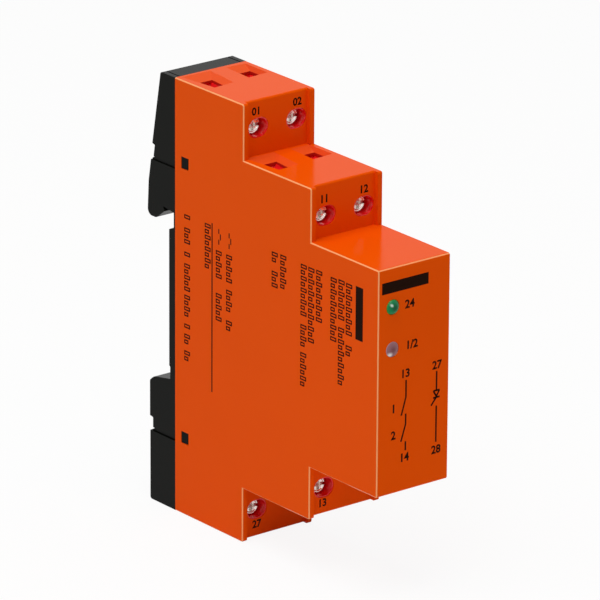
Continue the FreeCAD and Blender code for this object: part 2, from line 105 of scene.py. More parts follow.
def add_node(tree: bpy.types.NodeTree, kind: str, settings: Optional[Dict[str, Any]] = None,
             inputs: Optional[Dict[Any, Any]] = None) -> bpy.types.Node:
    """Adds one shader node with its settings and links.

    Args:
        tree: Node tree that receives the node.
        kind: Node type name after its "ShaderNode".
        settings: Attributes to set on the node.
        inputs: Values or output sockets by input name or index.

    Returns:
        The new node.
    """
    node = tree.nodes.new("ShaderNode" + kind)
    for name, value in (settings or {}).items():
        setattr(node, name, value)
    for name, value in (inputs or {}).items():
        if isinstance(value, bpy.types.NodeSocket):
            tree.links.new(value, node.inputs[name])
        else:
            node.inputs[name].default_value = value
    return node


def new_material(name: str) -> Tuple[bpy.types.Material, bpy.types.NodeTree, bpy.types.NodeSocket]:
    """Makes an empty node material and returns it with its tree and the piece's own coordinates."""
    material = bpy.data.materials.new(name)
    material.use_nodes = True
    material.node_tree.nodes.clear()
    tree = material.node_tree
    return material, tree, add_node(tree, "TexCoord").outputs["Object"]


def local_normal(tree: bpy.types.NodeTree) -> bpy.types.NodeSocket:
    """Adds the flat face normal, measured along the piece's own axes, and returns its output."""
    geometry = add_node(tree, "NewGeometry")
    turned = add_node(tree, "VectorTransform", {
        "vector_type": "NORMAL", "convert_from": "WORLD", "convert_to": "OBJECT"},
        {"Vector": geometry.outputs["True Normal"]})
    return turned.outputs[0]


def clear_selection() -> None:
    """Deselects every object."""
    bpy.ops.object.select_all(action="DESELECT")


def pick(*objects: bpy.types.Object) -> bpy.types.Object:
    """Selects only these objects and makes the first one active."""
    clear_selection()
    for item in objects:
        item.select_set(True)
    bpy.context.view_layer.objects.active = objects[0]
    return objects[0]


def settle(item: bpy.types.Object, name: str) -> bpy.types.Object:
    """Names an object and moves its place, turn and scale into its mesh."""
    pick(item)
    bpy.ops.object.transform_apply(location=True, rotation=True, scale=True)
    item.name = name
    item.data.name = name
    return item


def join(items: Sequence[bpy.types.Object], name: str) -> bpy.types.Object:
    """Joins objects into one mesh that sits at the origin."""
    pick(*items)
    if len(items) > 1:
        bpy.ops.object.join()
    return settle(bpy.context.view_layer.objects.active, name)


def select_faces(item: bpy.types.Object, chosen: Callable[[Any], bool]) -> None:
    """Enters edit mode with only the chosen faces selected."""
    pick(item)
    bpy.ops.object.mode_set(mode="EDIT")
    bpy.ops.mesh.select_mode(type="FACE")
    bpy.ops.mesh.select_all(action="DESELECT")
    mesh = bmesh.from_edit_mesh(item.data)
    for face in mesh.faces:
        face.select_set(chosen(face))
    mesh.select_flush_mode()
    bmesh.update_edit_mesh(item.data)


def edit_all(item: bpy.types.Object) -> None:
    """Enters edit mode with everything selected."""
    pick(item)
    bpy.ops.object.mode_set(mode="EDIT")
    bpy.ops.mesh.select_all(action="SELECT")


def leave_edit() -> None:
    """Returns to object mode."""
    bpy.ops.object.mode_set(mode="OBJECT")


def recalculate(item: bpy.types.Object) -> None:
    """Merges doubles and turns every face outwards."""
    edit_all(item)
    bpy.ops.mesh.remove_doubles(threshold=1e-7)
    bpy.ops.mesh.normals_make_consistent(inside=False)
    leave_edit()


def apply_modifier(item: bpy.types.Object, kind: str, **settings: Any) -> None:
    """Adds one modifier with its settings and applies it."""
    pick(item)
    modifier = item.modifiers.new(kind.title(), kind)
    for name, value in settings.items():
        setattr(modifier, name, value)
    bpy.ops.object.modifier_apply(modifier=modifier.name)


def carve(item: bpy.types.Object, cutters: Sequence[bpy.types.Object]) -> None:
    """Cuts solids out of an object and deletes them."""
    for cutter in cutters:
        apply_modifier(item, "BOOLEAN", operation="DIFFERENCE", object=cutter, solver="EXACT")
        bpy.data.objects.remove(cutter, do_unlink=True)


def block(low: Point, high: Point, turn: float = 0.0) -> bpy.types.Object:
    """Adds a box between two corners in millimetres, turned about +Y by an angle in radians."""
    clear_selection()
    centre = [(a + b) / 2 * MM for a, b in zip(low, high)]
    bpy.ops.mesh.primitive_cube_add(size=1, location=centre, rotation=(0, turn, 0))
    item = bpy.context.active_object
    item.scale = [(b - a) * MM for a, b in zip(low, high)]
    bpy.ops.object.transform_apply(location=True, rotation=True, scale=True)
    return item


def round_bar(x: float, z: float, radius: float, y0: float, y1: float, sides: int = 48) -> bpy.types.Object:
    """Adds a closed cylinder along Y, sizes in millimetres."""
    clear_selection()
    bpy.ops.mesh.primitive_cylinder_add(vertices=sides, radius=radius * MM, depth=abs(y1 - y0) * MM,
                                        location=(x * MM, (y0 + y1) / 2 * MM, z * MM),
                                        rotation=(math.pi / 2, 0, 0))
    bpy.ops.object.transform_apply(location=True, rotation=True, scale=True)
    return bpy.context.active_object


def copy_at(item: bpy.types.Object, name: str, offset: Vector) -> bpy.types.Object:
    """Copies an object with its own mesh and shifts the mesh by an offset in metres."""
    twin = item.copy()
    twin.data = item.data.copy()
    bpy.context.collection.objects.link(twin)
    twin.location = offset
    return settle(twin, name)


def smooth(item: bpy.types.Object, angle: float = 35.0) -> None:
    """Shades smooth wherever faces meet at less than an angle in degrees."""
    pick(item)
    bpy.ops.object.shade_smooth_by_angle(angle=math.radians(angle))


def dress(item: bpy.types.Object, material: bpy.types.Material, body: str = HOUSING) -> None:
    """Gives a piece its material and its body, and reports it.

    Args:
        item: Finished piece.
        material: Its only material.
        body: Body that carries it.
    """
    item.data.materials.clear()
    item.data.materials.append(material)
    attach(item, body)
    LOG.info("%s: %d faces on %s", item.name, len(item.data.polygons), body)


# ---- finishes -----------------------------------------------------------------------------
@dataclass(frozen=True)
class MouldedPlastic:
    """Polyamide from a polished tool: smooth skin over a fine even grain."""

    name: str
    colour: str
    shade: str
    roughness: float = 0.16
    specular: float = 0.05
    grain: float = 0.35          # mm; the tool's grain is about 0.05 mm, drawn coarser to show
    relief: float = 0.0015       # mm
    drift: float = 22.0          # mm, slow change of tone across a moulding
    gloss_play: float = 0.03     # change of roughness from grain to grain
    gleam: str = "#FFFFFF"       # tint of the skin's reflections
    edge: Optional[str] = None   # painted highlight on the thin chamfers along the left side and on the front's top edge
    half_turned: float = 0.707   # share of the normal along either face beside a chamfer
    edge_from: float = -8.4      # mm, chamfers lie further left than this
    front_edge: float = -64.5    # mm, the front's top edge lies further forward than this
    thin: Optional[str] = None   # painted red glow on the wire entries' lips, in place of the carriers' red light reflecting and shining through
    painted_steep_glow: str = "#DA3222"       # the painted glow, darker on their steeper faces: painted shade
    painted_throat_shade: str = "#CC2018"      # painted red shade on the upright walls below
    entry_rows: Tuple[Spot, ...] = ((7.2, 44.3), (27.4, 33.1))   # mm forward and up or down to the entries
    entry_reach: Spot = (4.6, 0.75)                              # mm either way of these
    sloping: Spot = (0.625, 0.362)   # share of the normal along Z on the mouths' slopes, and its play
    upright: Spot = (0.0, 0.1)       # the same on the walls below them
    lip_from: float = 7.6        # mm, the entries lie nearer the mid-plane than this

    def build(self) -> bpy.types.Material:
        """Builds the material.

        Returns:
            A material whose tone drifts slowly and whose skin has a fine grain, with painted highlights on
            the chamfers and painted red glow and shade in the wire entries where these are given.
        """
        material, tree, place = new_material(self.name)
        slow = add_node(tree, "TexNoise", None, {
            "Vector": place, "Scale": 1000 / self.drift, "Detail": 2.0})
        fine = add_node(tree, "TexNoise", None, {
            "Vector": place, "Scale": 1000 / self.grain, "Detail": 3.0})
        tone = add_node(tree, "Mix", {"data_type": "RGBA"}, {
            0: slow.outputs["Fac"], 6: linear(self.colour), 7: linear(self.shade)})
        colour = tone.outputs[2]
        # painted highlight: a pale tone on the chamfers of the left side and on the front's top edge
        if self.edge:
            colour = add_node(tree, "Mix", {"data_type": "RGBA"}, {
                0: self.chamfers(tree), 6: colour, 7: linear(self.edge)}).outputs[2]
        # painted red glow on the wire entries' mouths, lighter where they lie flatter, and painted red shade
        # on the walls below them
        if self.thin:
            sloping, flatness, upright = self.lips(tree)
            painted_lip_tone = add_node(tree, "Mix", {"data_type": "RGBA"}, {
                0: flatness, 6: linear(self.painted_steep_glow), 7: linear(self.thin)}).outputs[2]
            colour = add_node(tree, "Mix", {"data_type": "RGBA"}, {
                0: sloping, 6: colour, 7: painted_lip_tone}).outputs[2]
            colour = add_node(tree, "Mix", {"data_type": "RGBA"}, {
                0: upright, 6: colour, 7: linear(self.painted_throat_shade)}).outputs[2]
        gloss = add_node(tree, "MapRange", None, {
            "Value": fine.outputs["Fac"], "From Min": 0.3, "From Max": 0.7,
            "To Min": self.roughness - self.gloss_play, "To Max": self.roughness + self.gloss_play})
        bump = add_node(tree, "Bump", None, {
            "Height": fine.outputs["Fac"], "Strength": 0.2, "Distance": self.relief * MM})
        skin = add_node(tree, "BsdfPrincipled", None, {
            "Base Color": colour, "Roughness": gloss.outputs["Result"],
            "Specular IOR Level": self.specular, "Specular Tint": linear(self.gleam),
            "Normal": bump.outputs["Normal"]})
        add_node(tree, "OutputMaterial", None, {"Surface": skin.outputs["BSDF"]})
        return material

    def chamfers(self, tree: bpy.types.NodeTree) -> bpy.types.NodeSocket:
        """Adds a mask that is 1 on slanting faces next to the left side and on the front's top edge, where a
        highlight is painted.

        Args:
            tree: Node tree that receives the nodes.

        Returns:
            The mask's output.
        """
        facing = add_node(tree, "SeparateXYZ", None, {"Vector": local_normal(tree)})
        slant = add_node(tree, "Math", {"operation": "COMPARE"}, {
            0: facing.outputs["X"], 1: -self.half_turned, 2: 0.05})
        place = add_node(tree, "TexCoord").outputs["Object"]
        across = add_node(tree, "SeparateXYZ", None, {"Vector": place})
        left = add_node(tree, "Math", {"operation": "LESS_THAN"}, {
            0: across.outputs["X"], 1: self.edge_from * MM})
        side = add_node(tree, "Math", {"operation": "MULTIPLY"}, {
            0: slant.outputs[0], 1: left.outputs[0]})
        raised = add_node(tree, "Math", {"operation": "COMPARE"}, {
            0: facing.outputs["Z"], 1: self.half_turned, 2: 0.2})
        ahead = add_node(tree, "Math", {"operation": "LESS_THAN"}, {
            0: across.outputs["Y"], 1: self.front_edge * MM})
        brow = add_node(tree, "Math", {"operation": "MULTIPLY"}, {
            0: raised.outputs[0], 1: ahead.outputs[0]})
        either = add_node(tree, "Math", {"operation": "MAXIMUM"}, {
            0: side.outputs[0], 1: brow.outputs[0]})
        return either.outputs[0]

    def lips(self, tree: bpy.types.NodeTree) -> List[bpy.types.NodeSocket]:
        """Adds masks for the wire entries: their sloped mouths, and the upright walls under these.

        Args:
            tree: Node tree that receives the nodes.

        Returns:
            The mask of the sloped faces, how flat these lie from 0 to 1, and the mask of the walls.
        """
        size = add_node(tree, "VectorMath", {"operation": "ABSOLUTE"}, {0: local_normal(tree)})
        facing = add_node(tree, "SeparateXYZ", None, {"Vector": size.outputs[0]})
        place = add_node(tree, "TexCoord").outputs["Object"]
        reach = add_node(tree, "VectorMath", {"operation": "ABSOLUTE"}, {0: place})
        across = add_node(tree, "SeparateXYZ", None, {"Vector": reach.outputs[0]})
        inside = add_node(tree, "Math", {"operation": "LESS_THAN"}, {
            0: across.outputs["X"], 1: self.lip_from * MM})
        rows: List[bpy.types.NodeSocket] = []
        for depth, height in self.entry_rows:
            near = add_node(tree, "Math", {"operation": "COMPARE"}, {
                0: across.outputs["Y"], 1: depth * MM, 2: self.entry_reach[0] * MM})
            high = add_node(tree, "Math", {"operation": "COMPARE"}, {
                0: across.outputs["Z"], 1: height * MM, 2: self.entry_reach[1] * MM})
            rows.append(add_node(tree, "Math", {"operation": "MULTIPLY"}, {
                0: near.outputs[0], 1: high.outputs[0]}).outputs[0])
        row = add_node(tree, "Math", {"operation": "MAXIMUM"}, {0: rows[0], 1: rows[1]})
        entry = add_node(tree, "Math", {"operation": "MULTIPLY"}, {
            0: row.outputs[0], 1: inside.outputs[0]})
        masks: List[bpy.types.NodeSocket] = []
        for tilt, play in (self.sloping, self.upright):
            slope = add_node(tree, "Math", {"operation": "COMPARE"}, {
                0: facing.outputs["Z"], 1: tilt, 2: play})
            masks.append(add_node(tree, "Math", {"operation": "MULTIPLY"}, {
                0: slope.outputs[0], 1: entry.outputs[0]}).outputs[0])
        flatness = add_node(tree, "MapRange", None, {
            "Value": facing.outputs["Z"], "From Min": 0.4, "From Max": 0.97})
        return [masks[0], flatness.outputs["Result"], masks[1]]


@dataclass(frozen=True)
class PlatedSteel:
    """Steel with a bright galvanic plating: fine handling marks and soft reflections."""

    name: str
    colour: str
    shade: str
    roughness: float = 0.24
    mark: float = 0.5            # mm, spacing of the handling marks

    def build(self) -> bpy.types.Material:
        """Builds the material.

        Returns:
            A metal whose brightness and gloss vary over fractions of a millimetre.
        """
        material, tree, place = new_material(self.name)
        marks = add_node(tree, "TexNoise", None, {
            "Vector": place, "Scale": 1000 / self.mark, "Detail": 4.0})
        tone = add_node(tree, "Mix", {"data_type": "RGBA"}, {
            0: marks.outputs["Fac"], 6: linear(self.colour), 7: linear(self.shade)})
        gloss = add_node(tree, "MapRange", None, {
            "Value": marks.outputs["Fac"], "From Min": 0.3, "From Max": 0.7,
            "To Min": self.roughness - 0.06, "To Max": self.roughness + 0.08})
        skin = add_node(tree, "BsdfPrincipled", None, {
            "Base Color": tone.outputs[2], "Metallic": 1.0, "Roughness": gloss.outputs["Result"]})
        add_node(tree, "OutputMaterial", None, {"Surface": skin.outputs["BSDF"]})
        return material


@dataclass(frozen=True)
class LampResin:
    """Cast epoxy of an indicator lamp: tinted, with painted shade in the middle, a painted bright rim and a
    painted highlight spot.
    """

    name: str
    colour: str
    shade: str
    rim: str
    gleam: Spot                  # mm right of and above the axis to the middle of a painted highlight spot
    painted_highlight_colour: str = "#FFFFFF"
    painted_highlight_radius: float = 0.5    # mm
    transmission: float = 0.1
    cloud: float = 1.2           # mm, faint clouding inside the resin
    rim_from: float = 1.3        # mm from the axis, where the painted bright rim begins
    rim_to: float = 1.5

    def build(self, x: float, z: float) -> bpy.types.Material:
        """Builds the material round a lamp's axis.

        Args:
            x: Place of the axis across, in millimetres.
            z: Its height.

        Returns:
            A partly clear resin with faint clouding, painted shade in the middle, a painted bright rim and a
            painted highlight spot.
        """
        material, tree, place = new_material(self.name)
        cloud = add_node(tree, "TexNoise", None, {
            "Vector": place, "Scale": 1000 / self.cloud, "Detail": 1.0})
        axis = (x * MM, 0.0, z * MM)
        flat = add_node(tree, "VectorMath", {"operation": "MULTIPLY"}, {0: place, 1: (1.0, 0.0, 1.0)})
        reach = add_node(tree, "VectorMath", {"operation": "DISTANCE"}, {0: flat.outputs[0], 1: axis})
        # painted shade: darker in the middle, lighter further from the axis
        inner = add_node(tree, "MapRange", None, {
            "Value": reach.outputs["Value"], "From Min": 0.2 * MM, "From Max": self.rim_from * MM,
            "To Min": 0.0, "To Max": 0.8})
        depth = add_node(tree, "Math", {"operation": "MULTIPLY_ADD"}, {
            0: cloud.outputs["Fac"], 1: 0.2, 2: inner.outputs["Result"]})
        tone = add_node(tree, "Mix", {"data_type": "RGBA"}, {
            0: depth.outputs[0], 6: linear(self.colour), 7: linear(self.shade)})
        # painted bright rim
        painted_rim_mask = add_node(tree, "MapRange", None, {
            "Value": reach.outputs["Value"], "From Min": self.rim_from * MM, "From Max": self.rim_to * MM})
        tone = add_node(tree, "Mix", {"data_type": "RGBA"}, {
            0: painted_rim_mask.outputs["Result"], 6: tone.outputs[2], 7: linear(self.rim)})
        # painted highlight spot off the axis
        corner = ((x + self.gleam[0]) * MM, 0.0, (z + self.gleam[1]) * MM)
        away = add_node(tree, "VectorMath", {"operation": "DISTANCE"}, {0: flat.outputs[0], 1: corner})
        spot = add_node(tree, "MapRange", {"interpolation_type": "SMOOTHSTEP"}, {
            "Value": away.outputs["Value"], "From Min": 0.0, "From Max": self.painted_highlight_radius * MM,
            "To Min": 1.0, "To Max": 0.0})
        tone = add_node(tree, "Mix", {"data_type": "RGBA"}, {
            0: spot.outputs["Result"], 6: tone.outputs[2], 7: linear(self.painted_highlight_colour)})
        skin = add_node(tree, "BsdfPrincipled", None, {
            "Base Color": tone.outputs[2], "Roughness": 0.06, "IOR": 1.5, "Specular IOR Level": 0.14,
            "Transmission Weight": self.transmission})
        add_node(tree, "OutputMaterial", None, {"Surface": skin.outputs["BSDF"]})
        return material


@dataclass(frozen=True)
class PadPrint:
    """Two-part pad-printing ink: thin, dark and slightly uneven where the pad lifted."""

    name: str = "pad_print_umber"
    colour: str = "#240D02"
    shade: str = "#180801"
    mottle: float = 0.4          # mm

    def build(self) -> bpy.types.Material:
        """Builds the material.

        Returns:
            A matt dark ink with a faint mottle.
        """
        material, tree, place = new_material(self.name)
        mottle = add_node(tree, "TexNoise", None, {
            "Vector": place, "Scale": 1000 / self.mottle, "Detail": 2.0})
        tone = add_node(tree, "Mix", {"data_type": "RGBA"}, {
            0: mottle.outputs["Fac"], 6: linear(self.colour), 7: linear(self.shade)})
        skin = add_node(tree, "BsdfPrincipled", None, {
            "Base Color": tone.outputs[2], "Roughness": 0.6, "Specular IOR Level": 0.03})
        add_node(tree, "OutputMaterial", None, {"Surface": skin.outputs["BSDF"]})
        return material


@dataclass(frozen=True)
class SolderMask:
    """Glass-epoxy board under green solder mask: glossy, with the weave just showing."""

    name: str = "solder_mask_green"
    colour: str = "#0F5A34"
    shade: str = "#0A4527"
    weave: float = 0.6           # mm, glass thread spacing
    period: float = 6.28         # a wave texture's bands lie this far apart at scale 1

    def build(self) -> bpy.types.Material:
        """Builds the material.

        Returns:
            A glossy green with crossed thread bands.
        """
        material, tree, place = new_material(self.name)
        bands = {"Vector": place, "Scale": 1000 / self.weave / self.period}
        warp = add_node(tree, "TexWave", {"bands_direction": "Y"}, bands)
        weft = add_node(tree, "TexWave", {"bands_direction": "Z"}, bands)
        both = add_node(tree, "Math", {"operation": "MAXIMUM"}, {
            0: warp.outputs["Fac"], 1: weft.outputs["Fac"]})
        tone = add_node(tree, "Mix", {"data_type": "RGBA"}, {
            0: both.outputs[0], 6: linear(self.shade), 7: linear(self.colour)})
        skin = add_node(tree, "BsdfPrincipled", None, {"Base Color": tone.outputs[2], "Roughness": 0.25})
        add_node(tree, "OutputMaterial", None, {"Surface": skin.outputs["BSDF"]})
        return material


@dataclass(frozen=True)
class StudioPaper:
    """Seamless white paper: matt, lifted to white for the lens, the glosses and the clear resin."""

    name: str = "studio_paper"
    colour: str = "#F4F4F2"
    shade: str = "#F8F8F7"
    fibre: float = 60.0          # noise scale of the faint mottle, cells per metre
    lift: float = 0.9            # share of plain white that the lens and the glosses see

    def build(self) -> bpy.types.Material:
        """Builds the material.

        Returns:
            A matt white that keeps part of the object's shadow.
        """
        material, tree, place = new_material(self.name)
        fibre = add_node(tree, "TexNoise", None, {"Vector": place, "Scale": self.fibre, "Detail": 2.0})
        tone = add_node(tree, "Mix", {"data_type": "RGBA"}, {
            0: fibre.outputs["Fac"], 6: linear(self.colour), 7: linear(self.shade)})
        matt = add_node(tree, "BsdfDiffuse", None, {"Color": tone.outputs[2]})
        glow = add_node(tree, "Emission", None, {"Color": (1, 1, 1, 1), "Strength": 1.0})
        seen = seen_directly(tree)
        amount = add_node(tree, "Math", {"operation": "MULTIPLY"}, {0: seen, 1: self.lift})
        both = add_node(tree, "MixShader", None, {
            0: amount.outputs[0], 1: matt.outputs[0], 2: glow.outputs[0]})
        add_node(tree, "OutputMaterial", None, {"Surface": both.outputs[0]})
        return material


def seen_directly(tree: bpy.types.NodeTree) -> bpy.types.NodeSocket:
    """Adds a switch that is 1 for the lens, for glosses and through clear resin.

    Args:
        tree: Node tree that receives the nodes.

    Returns:
        The switch's output.
    """
    path = add_node(tree, "LightPath")
    gloss = add_node(tree, "Math", {"operation": "MAXIMUM"}, {
        0: path.outputs["Is Camera Ray"], 1: path.outputs["Is Glossy Ray"]})
    both = add_node(tree, "Math", {"operation": "MAXIMUM"}, {
        0: gloss.outputs[0], 1: path.outputs["Is Transmission Ray"]})
    return both.outputs[0]


# ---- carried CAD pieces -------------------------------------------------------------------
@dataclass
class CarriedParts:
    """Gives each solid of the frame that stays in view its own finish."""

    finishes: Dict[str, Any] = field(default_factory=lambda: {
        # polished moulding: smooth enough to mirror its surroundings at a flat angle, with painted
        # highlights on the thin edges and painted red glow and shade in the wire entries
        "cover_orange": MouldedPlastic(
            "polyamide_orange", "#F35603", "#EE5202", specular=0.035, gleam="#FFB428", edge="#FFAC72",
            thin="#EA541E"),
        # satin moulding: near black, with a soft grey sheen on top
        "base_black": MouldedPlastic("polyamide_black", "#11120E", "#0D0E0B", 0.24, 0.048),
        "latch_black": MouldedPlastic("acetal_black", "#11120E", "#0D0E0B", 0.24, 0.048),
        # glossy moulding: bright glints in the deep openings
        "terminal_red": MouldedPlastic("polyamide_crimson", "#FA2226", "#F01D22", 0.14, 0.4, 0.6, 0.001),
        # hard electronic mouldings: dull and even
        "relay_white": MouldedPlastic("polyester_white", "#E6E4DC", "#D8D6CE", 0.3, 0.4),
        "chip_black": MouldedPlastic("epoxy_black", "#1A1A1C", "#141416", 0.5, 0.3, 0.15),
        "board_green": SolderMask(),
        # bare and plated metals: broad soft highlights
        "can_aluminium": PlatedSteel("drawn_aluminium", "#C9CACC", "#BBBCBE", 0.3, 1.5),
        "cage_steel": PlatedSteel("zinc_plated_steel", "#C4C6C8", "#AEB0B2", 0.3),
        "bar_tinned": PlatedSteel("tinned_brass", "#D9D3BF", "#C9C2AC", 0.28),
    })

    def build(self) -> None:
        """Assigns one material per record slot to the solids that use it."""
        made = {slot: finish.build() for slot, finish in self.finishes.items()}
        for part in frame["record"]["subparts"]:
            node, slot = part["node"], part["material_slot"]
            if slot not in made:
                continue
            item = frame["nodes"][node]
            if item.material_slots:
                for holder in item.material_slots:
                    holder.material = made[slot]
            else:
                item.data.materials.append(made[slot])
        LOG.info("finished %d kinds of frame solid", len(made))


# ---- clamp screws -------------------------------------------------------------------------
@dataclass
class ClampScrew:
    """Captive M3 clamp screw with a combination slot, modelled once and copied to each terminal."""

    head_radius: float = 1.73
    head_height: float = 1.58
    rim: float = 0.38
    dish: float = 0.22
    slot_width: float = 0.62
    slot_depth: float = 0.75
    cross_width: float = 0.72
    cross_depth: float = 1.0
    cross_reach: float = 1.15
    shank_radius: float = 1.42
    shank_length: float = 9.55
    pitch: float = 0.5
    thread_depth: float = 0.2
    edge: float = 0.12           # rounding of the head's edges
    finish: PlatedSteel = field(default_factory=lambda: PlatedSteel(
        "nickel_plated_steel", "#F4EFEA", "#E2DBD4", 0.24))

    def head(self) -> bpy.types.Object:
        """Builds the head: rounded rim, dished face, slot and cross."""
        head = round_bar(0, 0, self.head_radius, 0, self.head_height, 64)
        select_faces(head, lambda face: face.normal.y < -0.9)
        bpy.ops.mesh.inset(thickness=self.rim * MM)
        bpy.ops.mesh.extrude_region_move(TRANSFORM_OT_translate={"value": (0, self.dish * MM, 0)})
        bpy.ops.transform.resize(value=(0.9, 1, 0.9))
        leave_edit()
        apply_modifier(head, "BEVEL", width=self.edge * MM, segments=3, limit_method="ANGLE",
                       angle_limit=math.radians(50))
        half, arm = self.slot_width / 2, self.cross_width / 2
        slot = block((-3, -1, -half), (3, self.slot_depth, half))
        cross = block((-arm, -1, -self.cross_reach), (arm, self.cross_depth, self.cross_reach))
        wide = block((-self.cross_reach, -1, -arm), (self.cross_reach, self.cross_depth, arm))
        carve(head, [slot, cross, wide])
        return head

    def shank(self) -> bpy.types.Object:
        """Builds the threaded shank as a turned profile with one groove per turn."""
        start = self.head_height - 0.02
        shank = round_bar(0, 0, self.shank_radius, start, start + self.shank_length, 32)
        turns = int(self.shank_length / self.pitch)
        for index in range(1, turns):
            level = (start + index * self.pitch) * MM
            edit_all(shank)
            bpy.ops.mesh.bisect(plane_co=(0, level, 0), plane_no=(0, 1, 0))
            if index % 2:
                squeeze = 1 - self.thread_depth / self.shank_radius
                bpy.ops.transform.resize(value=(squeeze, 1, squeeze), center_override=(0, level, 0))
            leave_edit()
        return shank

    def build(self) -> None:
        """Places one screw at each terminal, where the frame's own screws are."""
        material = self.finish.build()
        template = join([self.head(), self.shank()], "clamp_screw_template")
        smooth(template, 30)
        for tier in Tier:
            for column in (1, 2):
                node = f"terminal_screw_{tier.value}_{column}"
                low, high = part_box(node)
                place = Vector(((low[0] + high[0]) / 2, low[1], (low[2] + high[2]) / 2))
                screw = copy_at(template, f"clamp_screw_{tier.value}_{column}", place)
                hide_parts(node)
                dress(screw, material, f"screw_{tier.value}_{column}")
        bpy.data.objects.remove(template, do_unlink=True)


# ---- print --------------------------------------------------------------------------------
@dataclass
class InkLayer:
    """Flat print on one face of the housing, gathered stroke by stroke."""

    film: float = 0.012          # mm, thickness of the ink
    sink: float = 0.02           # mm, how far ruled strokes reach into the moulding
    weight: float = 0.028        # swelling of the digits' strokes, for digits of height 0.7
    strokes: List[bpy.types.Object] = field(default_factory=list)

    def number(self, text: str, height: float, x: float, y: float, z: float) -> None:
        """Prints a number that faces -Y.

        Args:
            text: Digits to print.
            height: Height of the digits in millimetres.
            x: Middle of the number across.
            y: Surface that carries the ink.
            z: Middle of the number's height.
        """
        clear_selection()
        bpy.ops.object.text_add(location=(0, 0, 0))
        item = bpy.context.active_object
        item.data.body = text
        item.data.size = 1.0
        item.data.extrude = 0.0
        item.data.offset = self.weight
        item.data.resolution_u = 3
        bpy.ops.object.convert(target="MESH")
        item = bpy.context.active_object
        xs = [v.co.x for v in item.data.vertices]
        ys = [v.co.y for v in item.data.vertices]
        scale = height * MM / (max(ys) - min(ys))
        middle = Vector(((max(xs) + min(xs)) / 2, (max(ys) + min(ys)) / 2, 0))
        edit_all(item)
        bpy.ops.mesh.remove_doubles(threshold=1e-5)
        bpy.ops.mesh.extrude_region_move(TRANSFORM_OT_translate={"value": (0, 0, self.film * MM / scale)})
        leave_edit()
        place = Matrix.Translation(Vector((x, y, z)) * MM) @ Matrix.Rotation(math.pi / 2, 4, "X")
        item.matrix_world = place @ Matrix.Scale(scale, 4) @ Matrix.Translation(-middle)
        settle(item, "ink_number")
        recalculate(item)
        self.strokes.append(item)

    def gather(self, name: str, material: bpy.types.Material) -> bpy.types.Object:
        """Joins the strokes into one printed piece of the housing."""
        piece = join(self.strokes, name)
        dress(piece, material)
        return piece


@dataclass
class FrontPrint(InkLayer):
    """Contact diagram, lamp marks and one plain field on the front face, in mm."""

    line: float = 0.36           # width of the diagram's lines
    x_left: float = -1.80        # the two contact paths
    x_right: float = 5.70
    digits: float = 1.75         # height of the numbers
    field_low: Spot = (-7.9, 17.9)
    field_high: Spot = (3.4, 20.2)

    def rule(self, start: Spot, end: Spot, y: float) -> None:
        """Prints a straight line between two (x, z) points of the front."""
        (x0, z0), (x1, z1) = start, end
        length, turn = math.hypot(x1 - x0, z1 - z0), math.atan2(x1 - x0, z1 - z0)
        half = self.line / 2
        cx, cz = (x0 + x1) / 2, (z0 + z1) / 2
        self.strokes.append(block((cx - half, y - self.film, cz - length / 2),
                                  (cx + half, y + self.sink, cz + length / 2), turn))

    def build(self, material: bpy.types.Material) -> None:
        """Prints the two contact paths, their numbers and the marks beside the lamps."""
        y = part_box("front_cover")[0][1] / MM
        left, right = self.x_left, self.x_right
        # on the left two contacts in a row, on the right a diode between two lines
        for start, end in (
                ((left, -0.41), (left, -3.86)), ((left, -3.86), (-2.90, -7.4)),
                ((left, -7.22), (left, -9.32)), ((left, -9.32), (-2.92, -12.69)),
                ((left, -12.83), (left, -14.66)),
                ((right, -0.28), (right, -4.15)), ((right, -5.55), (4.41, -7.05)),
                ((right, -7.32), (right, -14.69)),
                ((right - 0.75, -4.2), (right + 0.75, -4.2)), ((right - 0.75, -4.2), (right, -5.4)),
                ((right + 0.75, -4.2), (right, -5.4)), ((right - 0.8, -5.6), (right + 0.8, -5.6))):
            self.rule(start, end, y)
        for text, x, z in (("13", left - 0.05, 1.0), ("14", left - 0.05, -16.0), ("27", right + 0.1, 1.0),
                           ("28", right + 0.05, -16.2), ("1", left - 3.0, -5.6), ("2", left - 3.0, -11.0),
                           ("24", -1.1, 14.9), ("1/2", -0.3, 6.6)):
            self.number(text, self.digits, x, y, z)
        # a plain field above the lamps
        (x0, z0), (x1, z1) = self.field_low, self.field_high
        self.strokes.append(block((x0, y - self.film, z0), (x1, y + self.sink, z1)))
        self.gather("front_print", material)


